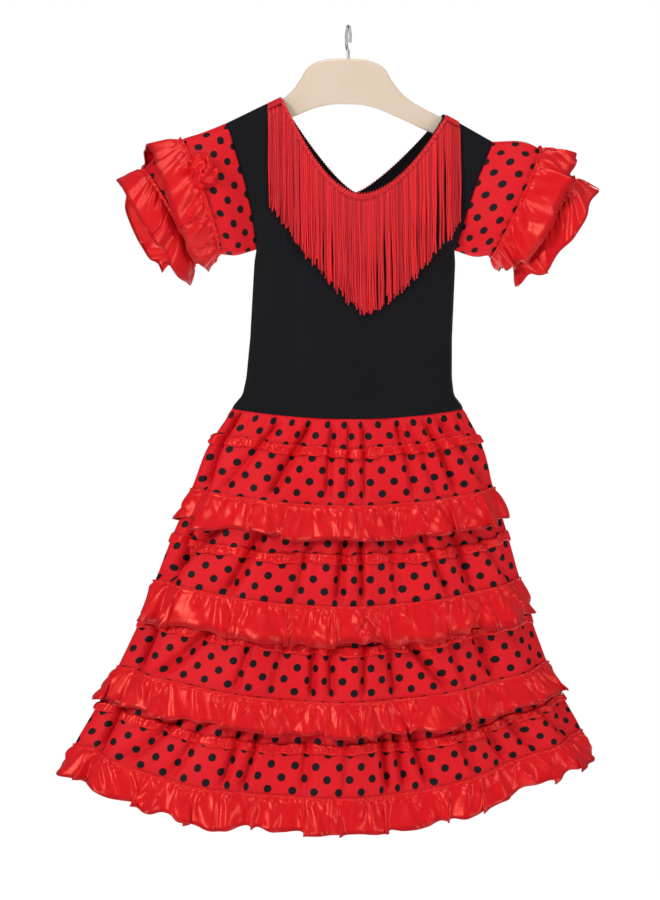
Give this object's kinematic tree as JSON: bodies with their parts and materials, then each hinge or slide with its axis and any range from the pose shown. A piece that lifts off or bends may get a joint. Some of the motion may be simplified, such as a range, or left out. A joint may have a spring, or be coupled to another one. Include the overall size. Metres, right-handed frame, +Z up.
{
  "type": "flamenco dress on a hanger",
  "caption": "Child's flamenco dress with a black knit bodice, fringed V neck, puff sleeves and a tiered dotted skirt with satin ruffles, hung on a moulded hanger.",
  "frame": {"origin": "inner top of the hanger's hook, where a rail carries it", "axes": "+Z up, the dress's front faces -Y, +X to the viewer's right"},
  "size_m": [0.5582, 0.2072, 0.8005],
  "materials": {
    "black_knit": "matte black stretch knit",
    "dotted_cloth": "red woven cloth with a black dot print",
    "red_satin": "glossy red satin",
    "red_fringe": "shiny red chainette fringe",
    "hanger_plastic": "smooth cream moulded plastic",
    "hook_wire": "bright wire"
  },
  "bodies": {
    "root": {"bodice_front": "black_knit", "bodice_back": "black_knit", "neck_fringe_front": "red_fringe", "neck_fringe_back": "red_fringe", "sleeve_left": "dotted_cloth", "sleeve_right": "dotted_cloth", "sleeve_left_frill_upper": "red_satin", "sleeve_left_frill_lower": "red_satin", "sleeve_right_frill_upper": "red_satin", "sleeve_right_frill_lower": "red_satin", "skirt_tier_1": "dotted_cloth", "skirt_tier_2": "dotted_cloth", "skirt_tier_3": "dotted_cloth", "skirt_tier_4": "dotted_cloth", "skirt_frill_1": "red_satin", "skirt_frill_2": "red_satin", "skirt_frill_3": "red_satin", "skirt_frill_4": "red_satin", "skirt_ribbon_1": "red_satin", "skirt_ribbon_2": "red_satin", "skirt_ribbon_3": "red_satin", "skirt_ribbon_4": "red_satin", "hanger_body": "hanger_plastic", "hanger_hook": "hook_wire"}
  },
  "joints": []
}
